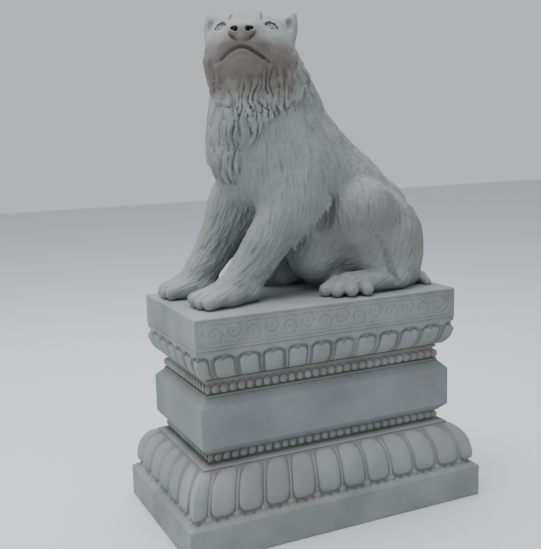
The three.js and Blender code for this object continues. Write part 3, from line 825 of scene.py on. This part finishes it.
def tube_faces(rows, columns):
    """The four-sided faces between closed rows of points."""
    low = np.arange(rows * columns).reshape(rows, columns)
    across = np.roll(low, -1, axis=1)
    return np.stack([low[:-1], across[:-1], across[1:], low[1:]], -1).reshape(-1, 4)


def band_mesh(name, band, relief, hollow):
    rows, columns = band.share.shape
    points = band.points(relief).reshape(-1, 3)
    foot = list(range(columns))
    caps = [foot[::-1], [number + (rows - 1) * columns for number in foot]]
    return make_mesh(name, points, tube_faces(rows, columns), caps, hollow.reshape(-1))


def put_in_scene(name, data):
    made = bpy.data.objects.new(name, data)
    bpy.context.collection.objects.link(made)
    return made


def make_mesh(name, points, faces, caps, hollow, shade_and_stain=None, normals=None):
    mesh = bpy.data.meshes.new(name)
    mesh.from_pydata((points * MM).tolist(), [], faces.tolist() + caps)
    if shade_and_stain is None:
        shade_and_stain = np.zeros(len(points))
    # the two attributes: groove dirt with painted shade, and brown painted shade with stain
    for attribute, values in (("hollow", hollow), ("shade_and_stain", shade_and_stain)):
        made = mesh.attributes.new(attribute, "FLOAT", "POINT")
        made.data.foreach_set("value", values.astype(np.float32))
    mesh.shade_smooth()
    if normals is not None:
        mesh.normals_split_custom_set_from_vertices(normals.tolist())
    return put_in_scene(name, mesh)


def tooled(band, salt):
    """Unevenness left by the chisel, in millimetres below the face."""
    return 0.7 * band.lumps(45, salt) + 0.35 * band.lumps(12, salt + 1) - 1.05


def hump(distance, width, power=2):
    """A rounded ridge: 1 on its line, 0 at its width."""
    return np.clip(1 - (np.abs(distance) / width) ** power, 0, 1) ** (1 / power)


def repeats(band, pitch):
    """Across each repeat from -0.5 to 0.5, centred on the corners, and the repeat's number."""
    count = np.round(band.long / pitch)
    across = band.share * count
    number = np.round(across)
    return across - number, number


def hand_cut_petals(band, salt):
    """Across each lotus petal, with small differences from one petal to the next."""
    across, number = repeats(band, PETAL_PITCH)
    return across + 0.012 * (lattice(np.stack([number, band.side], -1), salt) - 0.5)


def upper_petals(across, up):
    """One upturned petal: a lobe with a double-humped top under a dark hollow, in a flat rim."""
    side = np.abs(across)
    lobe_half = 0.39
    hump_share = np.clip(np.abs(side - lobe_half * 0.46) / (lobe_half * 0.54), 0, 1)
    tip = 0.62 + 0.13 * np.sqrt(1 - hump_share**2)
    sides = np.clip(1 - (side / lobe_half) ** 4, 0, 1) ** 0.5
    top = np.sqrt(np.clip(1 - ramp(up, tip - 0.16, tip) ** 2, 0, 1))
    lobe = sides * top * (0.7 + 0.3 * ramp(up, 0, 0.35))
    arch = 0.7 + 0.13 * np.sqrt(np.clip(1 - (side / 0.42) ** 2.4, 0, 1))
    rim = 0.72 * ramp(up, arch - 0.02, arch + 0.04) * (side < 0.43)
    curl = 0.3 * hump(np.hypot(side / 0.1, (up - 0.76) / 0.06), 1)
    rib = 0.68 * np.maximum(hump(side - 0.5, 0.03), hump(side - 0.435, 0.022))
    spread_rib = 0.72 * (side >= 0.43) * ramp(up, 0.66, 0.8)
    return np.maximum.reduce([lobe, rim, curl, rib, spread_rib])


def lower_petals(across, up):
    """One downturned petal: a full pillow with rounded corners, and thin double ribs beside it."""
    side = np.abs(across)
    tall = np.abs(up - 0.53) / 0.4
    body = np.clip(1 - (side / 0.43) ** 3.4 - tall**5, 0, 1)
    pillow = body**0.45
    rib = 0.5 * np.maximum(hump(side - 0.474, 0.018), hump(side - 0.5, 0.012))
    rib = rib * ramp(up, 0.1, 0.2) * (1 - ramp(up, 0.86, 0.92))
    fillet = 0.62 * ramp(up, 0.945, 0.955)
    tongue = 0.6 * hump(side - 0.5, 0.13) * (1 - ramp(up, 0.12, 0.2))
    return np.maximum.reduce([pillow, rib, fillet, tongue])


def beads(band, middle, radius, salt):
    """A string of round beads: their height where the band passes them."""
    across, number = repeats(band, BEAD_PITCH)
    jitter = lattice(np.stack([number, band.side], -1), salt)
    along = across * band.long / np.round(band.long / BEAD_PITCH)
    off = np.hypot(along, (band.z - middle) * (0.96 + 0.08 * jitter))
    size = radius * (0.95 + 0.08 * jitter)
    return np.sqrt(np.clip(1 - (off / size) ** 2, 0, 1))


def upper_course(size):
    foot = size["upper_foot"]
    lotus_foot = foot + UPPER_BEAD_HEIGHT
    top = size["upper_top"]
    bead_middle = foot + UPPER_BEAD_HEIGHT * 0.42
    recess = -NECK_INSET - BEAD_RELIEF
    ledge = [(foot, -NECK_INSET), (bead_middle - BEAD_PITCH * 0.52, -NECK_INSET)]
    groove = [(bead_middle - BEAD_PITCH * 0.5, recess), (bead_middle + BEAD_PITCH * 0.5, recess)]
    groove.append((lotus_foot - 14, recess))
    fillet = [(lotus_foot - 12, recess + 8), (lotus_foot - 2, recess + 8), (lotus_foot, recess + 3)]
    lower_rows = profile(ledge + groove + fillet, step=2.4)
    depth = NECK_INSET + LIP
    swell = []
    for rise in np.linspace(0, 1, 44)[1:] ** 1.25:
        bow = 1 - np.sqrt(1 - (1 - min(rise / 0.84, 1)) ** 2)
        swell.append((lotus_foot + rise * (top - lotus_foot), LIP - depth * bow - PETAL_RELIEF))
    rows = lower_rows + swell + [(top, -NECK_INSET)]
    band = Band(size, rows, step=2.9)
    up = np.clip((band.z - lotus_foot) / (top - lotus_foot), 0, 1)
    carving = upper_petals(hand_cut_petals(band, 3), up) * PETAL_RELIEF * ramp(up, 0, 0.06)
    carving[-1] = 0
    string = beads(band, bead_middle, BEAD_PITCH * 0.485, 4) * (BEAD_RELIEF + 1)
    relief = np.where(band.z > lotus_foot, carving, string)
    # darker where the relief is low: dirt in the grooves and painted shade
    hollow = 0.5 * (1 - ramp(relief, 0, 8))
    return band_mesh("upper_lotus_carving", band, relief + tooled(band, 20), hollow)


def lower_course(size):
    top = size["lower_top"]
    lotus_top = top - LOWER_BEAD_HEIGHT
    bead_middle = lotus_top + LOWER_BEAD_HEIGHT / 2
    recess = -NECK_INSET - BEAD_RELIEF
    reach = PLINTH_OUTSET - PETAL_FOOT_SETBACK
    depth = NECK_INSET + reach
    sides = [(0, PLINTH_OUTSET - 2), (2, PLINTH_OUTSET), (PLINTH_HEIGHT - 2, PLINTH_OUTSET)]
    plinth = profile(sides, step=6)
    ledge = [(PLINTH_HEIGHT, PLINTH_OUTSET - 2), (PLINTH_HEIGHT + 0.4, reach + 7)]
    fillet = [(PLINTH_HEIGHT + 8, reach + 6), (PLINTH_HEIGHT + 10, reach - PETAL_RELIEF)]
    swell = []
    for rise in np.linspace(0, 1, 62)[1:]:
        rise = 0.06 + 0.94 * np.sin(rise * math.pi / 2) ** 1.15
        outset = reach - depth * (1 - np.sqrt(np.clip(1 - rise**2.6, 0, 1)))
        swell.append((PLINTH_HEIGHT + rise * (lotus_top - PLINTH_HEIGHT), outset - PETAL_RELIEF))
    string = profile([(lotus_top, recess), (top, recess)], step=2.4)
    band = Band(size, plinth + ledge + fillet + swell + string, step=3.1)
    up = np.clip((band.z - PLINTH_HEIGHT) / (lotus_top - PLINTH_HEIGHT), 0, 1)
    small_leaf = repeats(band, PETAL_PITCH / 3)[0]
    leaves = 0.5 * hump(small_leaf, 0.46) * (1 - ramp(up, 0.05, 0.12))
    carving = np.maximum(lower_petals(hand_cut_petals(band, 5), up), leaves) * PETAL_RELIEF
    in_lotus = (band.z > PLINTH_HEIGHT + 9) & (band.z < lotus_top - 0.01)
    carving = np.where(in_lotus, carving * (1 - ramp(up, 0.99, 1)), 0)
    pearls = beads(band, bead_middle, BEAD_PITCH * 0.46, 6) * (BEAD_RELIEF + 1)
    relief = np.where(band.z > lotus_top, pearls, carving)
    on_plinth = (band.z < PLINTH_HEIGHT - 1) & (band.z > 1)
    relief = relief + np.where(on_plinth, 0.5 * band.saw_lines(3, 9) - 0.5, 0)
    # darker where the relief is low: dirt in the grooves and painted shade
    hollow = np.where(in_lotus | (band.z > lotus_top), 0.6 * (1 - ramp(relief, 0, 8)), 0)
    return band_mesh("lower_lotus_carving", band, relief + tooled(band, 40), hollow)


def waist(size):
    foot, top = size["waist_foot"], size["waist_top"]
    # from the block's end to its side, with the arris a little rounded
    chamfer = [(0, -NECK_INSET), (CHAMFER_HEIGHT - 1.5, -WAIST_INSET - 1.5)]
    chamfer.append((CHAMFER_HEIGHT + 1, -WAIST_INSET))
    rows = [(foot + rise, outset) for rise, outset in chamfer]
    rows += [(top - rise, outset) for rise, outset in chamfer[::-1]]
    band = Band(size, profile(rows, step=5), step=8)
    relief = 0.3 * band.saw_lines(4, 12) + 0.5 * tooled(band, 60)
    return band_mesh("plain_waist", band, relief, np.zeros(band.z.shape))


# The frieze on the long sides of the slab

FRIEZE_RELIEF = 4
FRIEZE_BORDER = 16
FRIEZE_LINE = 7
VOLUTE_TURN = 3.3 * math.pi
LEAF_ANGLES = (0.3, 0.42, 0.56, 1.3, 1.42, 1.56)  # half turns, round each crossing of the stem


def nearest(points, line):
    """Each point's distance to a line through many points."""
    best = np.full(len(points), 1e9)
    for start, end in zip(line[:-1], line[1:]):
        run = end - start
        t = np.clip(((points - start) @ run) / max(run @ run, 1e-9), 0, 1)
        best = np.minimum(best, length(points - start - t[:, None] * run))
    return best


def scroll_lines(half_length, half_height):
    """A running stem with a volute in each of its bends, and fans of leaves where it crosses."""
    bends = 2 * int(round(half_length / (half_height * 2.2)))
    reach = half_length - 0.5 * half_height
    pitch = 2 * reach / bends
    t = np.linspace(-reach, reach, bends * 6 + 1)
    stem = np.stack([t, 0.8 * half_height * np.sin((t + reach) / pitch * math.pi)], 1)
    lines = [(stem, 7)]
    for bend in range(bends):
        up = 1 if bend % 2 == 0 else -1
        middle = vec(-reach + (bend + 0.5) * pitch, -0.2 * half_height * up)
        theta = np.linspace(0, VOLUTE_TURN, 27)
        opening = 0.3 * (1 - ramp(theta, 0, 1.2))
        radius = half_height * (0.62 - 0.44 * theta / VOLUTE_TURN + opening)
        volute = np.stack([-np.cos(theta) * radius, -up * np.sin(theta) * radius], 1)
        lines.append((middle + volute, 6.5))
        root = vec(-reach + bend * pitch, 0)
        for angle in np.array(LEAF_ANGLES) * math.pi:
            leaf = vec(math.cos(angle) * up, math.sin(angle)) * half_height
            lines.append((np.stack([root + leaf * 0.35, root + leaf * 0.9]), 6))
    return lines


def frieze(along, height, half_length, half_height):
    """The raised lines of the frieze, as a height from 0 to 1."""
    flat = np.stack([along, height], -1).reshape(-1, 2)
    half_x, half_y = half_length - FRIEZE_BORDER, half_height - FRIEZE_BORDER
    straight = np.maximum(np.abs(flat[:, 0]) - (half_x - half_y), 0)
    frame_line = hump(np.hypot(straight, flat[:, 1]) - half_y + FRIEZE_LINE / 2, FRIEZE_LINE / 2 + 1)
    edge = np.minimum(half_length - np.abs(flat[:, 0]), half_height - np.abs(flat[:, 1]))
    border = 1 - ramp(edge, 5, 8)
    second = 0.55 * hump(edge - 11.5, 2.2)
    inside = np.hypot(straight, flat[:, 1]) < half_y - FRIEZE_LINE
    lines = np.zeros(len(flat))
    for line, width in scroll_lines(half_x - FRIEZE_LINE, half_y - FRIEZE_LINE):
        lines = np.maximum(lines, hump(nearest(flat, line), width))
    carving = np.maximum.reduce([frame_line, border, second, np.where(inside, lines, 0)])
    return carving.reshape(along.shape)


def slab(size):
    foot = size["slab_foot"]
    top = foot + SLAB_THICKNESS
    rows = profile([(foot, -1.5), (foot + 1.5, 0), (top - 2, 0), (top, -2)], step=2.5)
    band = Band(size, rows, step=2.5)
    along = (band.share - 0.5) * band.long
    height = band.z - foot - SLAB_THICKNESS / 2
    carving = np.zeros(band.z.shape)
    for number in (0, 2):
        on = band.side[0] == number
        carving[:, on] = frieze(along[:, on], height[:, on], size["half_y"], SLAB_THICKNESS / 2)
    worn = 0.75 + 0.25 * band.lumps(90, 70)
    relief = FRIEZE_RELIEF * 0.9 * carving * worn
    # the frieze's ground is a little darker between its raised lines: dirt and painted shade
    hollow = np.where(band.side % 2 == 0, 0.16 * (1 - ramp(carving, 0.05, 0.6)), 0)
    chips = np.clip(band.lumps(23, 71) - 0.62, 0, 1)
    edge = np.minimum(band.z - foot, top - band.z)
    relief += 0.4 * tooled(band, 72) - 14 * chips * (1 - ramp(edge, 0, 9))
    relief = np.where(edge < 1, np.minimum(relief, 0), relief)
    return band_mesh("frieze_slab", band, relief, hollow)


# the dog is one stone, but its mesh is kept in three lots, parted over the slab and lengthwise
DOG_PARTS = ("carved_head_and_mane", "carved_forequarters", "carved_hindquarters")
HEAD_FOOT = 640
HIND_START = 20


def stone_dog(size):
    ground = size["slab_foot"] + SLAB_THICKNESS
    points, faces, hollow, shade_and_stain = carved_dog()
    points[:, 2] = np.minimum(points[:, 2] + ground, size["top"])
    normals = point_normals(points, faces)
    middle = points[faces].mean(1)
    high = middle[:, 2] > ground + HEAD_FOOT
    front = middle[:, 1] < HIND_START
    made = []
    for name, chosen in zip(DOG_PARTS, (high, ~high & front, ~high & ~front)):
        used, numbers = np.unique(faces[chosen], return_inverse=True)
        own = numbers.reshape(-1, 4)
        made.append(make_mesh(name, points[used], own, [], hollow[used], shade_and_stain[used], normals[used]))
    points, faces, groove = eyeballs()
    points[:, 2] += ground
    made.append(make_mesh("carved_eyes", points, faces, [], groove))
    return made


# Materials

def linear(code):
    """An sRGB hex colour as the linear colour that the shader wants."""
    parts = [int(code[i : i + 2], 16) / 255 for i in (1, 3, 5)]
    return [c / 12.92 if c <= 0.04045 else ((c + 0.055) / 1.055) ** 2.4 for c in parts] + [1]


def add(tree, kind, inputs=None, **settings):
    """Adds a node, sets it and links its inputs: a value is set, an output socket is linked."""
    made = tree.nodes.new(kind)
    for name, value in settings.items():
        setattr(made, name, value)
    for name, value in (inputs or {}).items():
        socket = made.inputs[name]
        if isinstance(value, bpy.types.NodeSocket):
            tree.links.new(value, socket)
        else:
            socket.default_value = value
    return made


GREY_SPECK = "#6f7471"
PINK_CLOUD = "#a98f88"
GREEN_FILM = "#7b8578"
# groove dirt mixed with painted shade, laid in grooves and narrow gaps
GROOVE_DIRT_AND_SHADE = "#5c5a52"
# brown painted shade under the jaw, on undersides and in pockets, with stain on the lower flanks
BROWN_SHADE_AND_STAIN = "#655d55"
# each pattern's lump size in millimetres, its detail and its roughness
LUMPS = {
    "cloud": (200, 4, 0.55),
    "speck": (2.38, 2, 0.7),
    "pink": (385, 3, 0.55),
    "green": (270, 3, 0.55),
    "streak": (111, 5, 0.6),
    "grain": (3.85, 6, 0.75),
    "pits": (14.3, 5, 0.7),
}
# height, reach, colour and share of the dirt that has run under the overhangs, in metres
DIRT_LINES = (
    (0.672, 0.04, "#6f655a", 0.4),
    (0.625, 0.045, "#757263", 0.4),
    (0.372, 0.04, "#6d6a5e", 0.5),
)


def stone(name, pale, dark, groove_dirt_and_shade, tint=0.3):
    """Fine-grained limestone, dry and matt: cloudy grey, with dirt and painted shade in its hollows, and
    brown painted shade with stain on the figure's undersides.

    Its grain is a millimetre or less, drawn as specks of over two so that it shows."""
    material = bpy.data.materials.new(name)
    material.use_nodes = True
    tree = material.node_tree
    tree.nodes.clear()
    place = add(tree, "ShaderNodeTexCoord").outputs["Object"]
    height = add(tree, "ShaderNodeSeparateXYZ", {0: place}).outputs["Z"]
    hollow, shade_and_stain = [
        add(tree, "ShaderNodeAttribute", attribute_name=attribute).outputs["Fac"]
        for attribute in ("hollow", "shade_and_stain")
    ]
    lumps = {}
    for label, (lump, detail, rough) in LUMPS.items():
        inputs = {"Vector": place, "Scale": 1 / (lump * MM), "Detail": detail, "Roughness": rough}
        lumps[label] = add(tree, "ShaderNodeTexNoise", inputs).outputs[0]
    # each layer: colour, share, and what it follows, with the values where it starts and is full
    layers = [
        (dark, 1, [(lumps["cloud"], 0.35, 0.65)]),
        (GREY_SPECK, 0.16, [(lumps["speck"], 0.3, 0.75)]),
        (PINK_CLOUD, tint, [(lumps["pink"], 0.55, 0.8)]),
        (GREEN_FILM, 0.45, [(lumps["green"], 0.5, 0.85)]),
        # groove dirt with painted shade in the grooves and narrow gaps
        (GROOVE_DIRT_AND_SHADE, groove_dirt_and_shade, [(hollow, 0, 1)]),
        # brown painted shade under the jaw, on undersides and in pockets, with stain on the lower flanks
        (BROWN_SHADE_AND_STAIN, 0.75, [(shade_and_stain, 0.15, 0.9)]),
    ]
    for middle, reach, colour, share in DIRT_LINES:
        ring = [(height, middle - reach, middle), (height, middle + reach, middle)]
        layers.append((colour, share, ring + [(lumps["streak"], 0.3, 0.6)]))
    base = linear(pale)
    for colour, share, follows in layers:
        amount = share
        for source, low, high in follows:
            shown = add(tree, "ShaderNodeMapRange", {"Value": source, "From Min": low, "From Max": high})
            inputs = {0: shown.outputs["Result"], 1: amount}
            amount = add(tree, "ShaderNodeMath", inputs, operation="MULTIPLY").outputs[0]
        inputs = {0: amount, 6: base, 7: linear(colour)}
        base = add(tree, "ShaderNodeMix", inputs, data_type="RGBA").outputs[2]
    inputs = {"Height": lumps["grain"], "Strength": 0.35, "Distance": 1.2 * MM}
    grain = add(tree, "ShaderNodeBump", inputs).outputs[0]
    inputs = {"Height": lumps["pits"], "Strength": 0.3, "Distance": 3 * MM, "Normal": grain}
    pits = add(tree, "ShaderNodeBump", inputs).outputs[0]
    inputs = {"Base Color": base, "Roughness": 0.86, "Specular IOR Level": 0.3, "Normal": pits}
    shader = add(tree, "ShaderNodeBsdfPrincipled", inputs)
    add(tree, "ShaderNodeOutputMaterial", {0: shader.outputs[0]})
    return material


def dress(piece, material, node):
    piece.data.materials.append(material)
    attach(piece, "root")
    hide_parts(node)


# The scene: floor, light and camera

EYE = Vector((3.1374, -1.6122, 1.6))
LOOK_AZIMUTH = 64.76
LOOK_DOWN = 9.84
ROLL = -1.5612
FOCAL_PIXELS = 844.33
PHOTO_WIDTH = 541
SENSOR = 36
SKY_COLOUR = "#e3e8ee"
SKY_STRENGTH = 0.76
LIT_POINT = Vector((0, 0, 0.9))


def camera():
    azimuth, down, roll = [math.radians(a) for a in (LOOK_AZIMUTH, LOOK_DOWN, ROLL)]
    level = Vector((-math.sin(azimuth), math.cos(azimuth), 0))
    forward = math.cos(down) * level - Vector((0, 0, math.sin(down)))
    right = Vector((math.cos(azimuth), math.sin(azimuth), 0))
    up = right.cross(forward)
    turned_right = math.cos(roll) * right + math.sin(roll) * up
    turned_up = math.cos(roll) * up - math.sin(roll) * right
    data = bpy.data.cameras.new("camera")
    data.sensor_fit = "HORIZONTAL"
    data.sensor_width = SENSOR
    data.lens = FOCAL_PIXELS / PHOTO_WIDTH * SENSOR
    data.clip_end = 100
    made = put_in_scene("camera", data)
    turn = Matrix((turned_right, turned_up, -forward)).transposed()
    made.matrix_world = Matrix.Translation(EYE) @ turn.to_4x4()
    bpy.context.scene.camera = made


def lamp(name, place, size, power, colour):
    data = bpy.data.lights.new(name, "AREA")
    data.size = size
    data.energy = power
    data.color = linear(colour)[:3]
    made = put_in_scene(name, data)
    made.location = place
    aim = LIT_POINT - Vector(place)
    made.rotation_euler = aim.to_track_quat("-Z", "Y").to_euler()


def studio():
    world = bpy.data.worlds.new("sky")
    bpy.context.scene.world = world
    world.use_nodes = True
    background = world.node_tree.nodes["Background"]
    background.inputs[0].default_value = linear(SKY_COLOUR)
    background.inputs[1].default_value = SKY_STRENGTH
    lamp("sky_light", (-0.4, -0.8, 6.5), 5.5, 590, "#f6f8fb")
    lamp("front_light", (1.6, -5.0, 1.2), 2.6, 50, "#ffffff")
    bpy.ops.mesh.primitive_plane_add(size=30, location=(0, 0, 0))
    floor = bpy.context.object
    floor.name = "floor"
    material = bpy.data.materials.new("matt_painted_floor")  # even and pale, without gloss
    material.use_nodes = True
    shader = material.node_tree.nodes["Principled BSDF"]
    shader.inputs["Base Color"].default_value = linear("#d9dcdf")
    shader.inputs["Roughness"].default_value = 0.9
    floor.data.materials.append(material)


def corners(box):
    return [[float(v) for v in corner] for corner in box]


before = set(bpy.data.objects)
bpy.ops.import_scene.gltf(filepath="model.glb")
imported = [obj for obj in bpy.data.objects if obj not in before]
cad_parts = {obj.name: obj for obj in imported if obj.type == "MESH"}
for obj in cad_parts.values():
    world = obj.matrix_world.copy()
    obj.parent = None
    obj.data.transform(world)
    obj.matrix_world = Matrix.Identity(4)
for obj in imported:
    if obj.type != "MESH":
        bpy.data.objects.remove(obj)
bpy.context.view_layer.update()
camera()
studio()
size = measures()
# chiselled grey limestone gives a matt, cloudy surface with dirt and painted shade in its cuts
pale_stone = stone("carved_grey_limestone", "#959896", "#808483", 0.8)
# sawn blue-grey limestone is colder and evener, with faint level saw lines
waist_stone = stone("sawn_blue_grey_limestone", "#888c8e", "#797e80", 0.3, tint=0.15)
for piece in stone_dog(size):
    dress(piece, pale_stone, "dog_with_slab")
dress(slab(size), pale_stone, "dog_with_slab")
dress(upper_course(size), pale_stone, "upper_lotus_course")
dress(waist(size), waist_stone, "waist_block")
dress(lower_course(size), pale_stone, "lower_lotus_course")
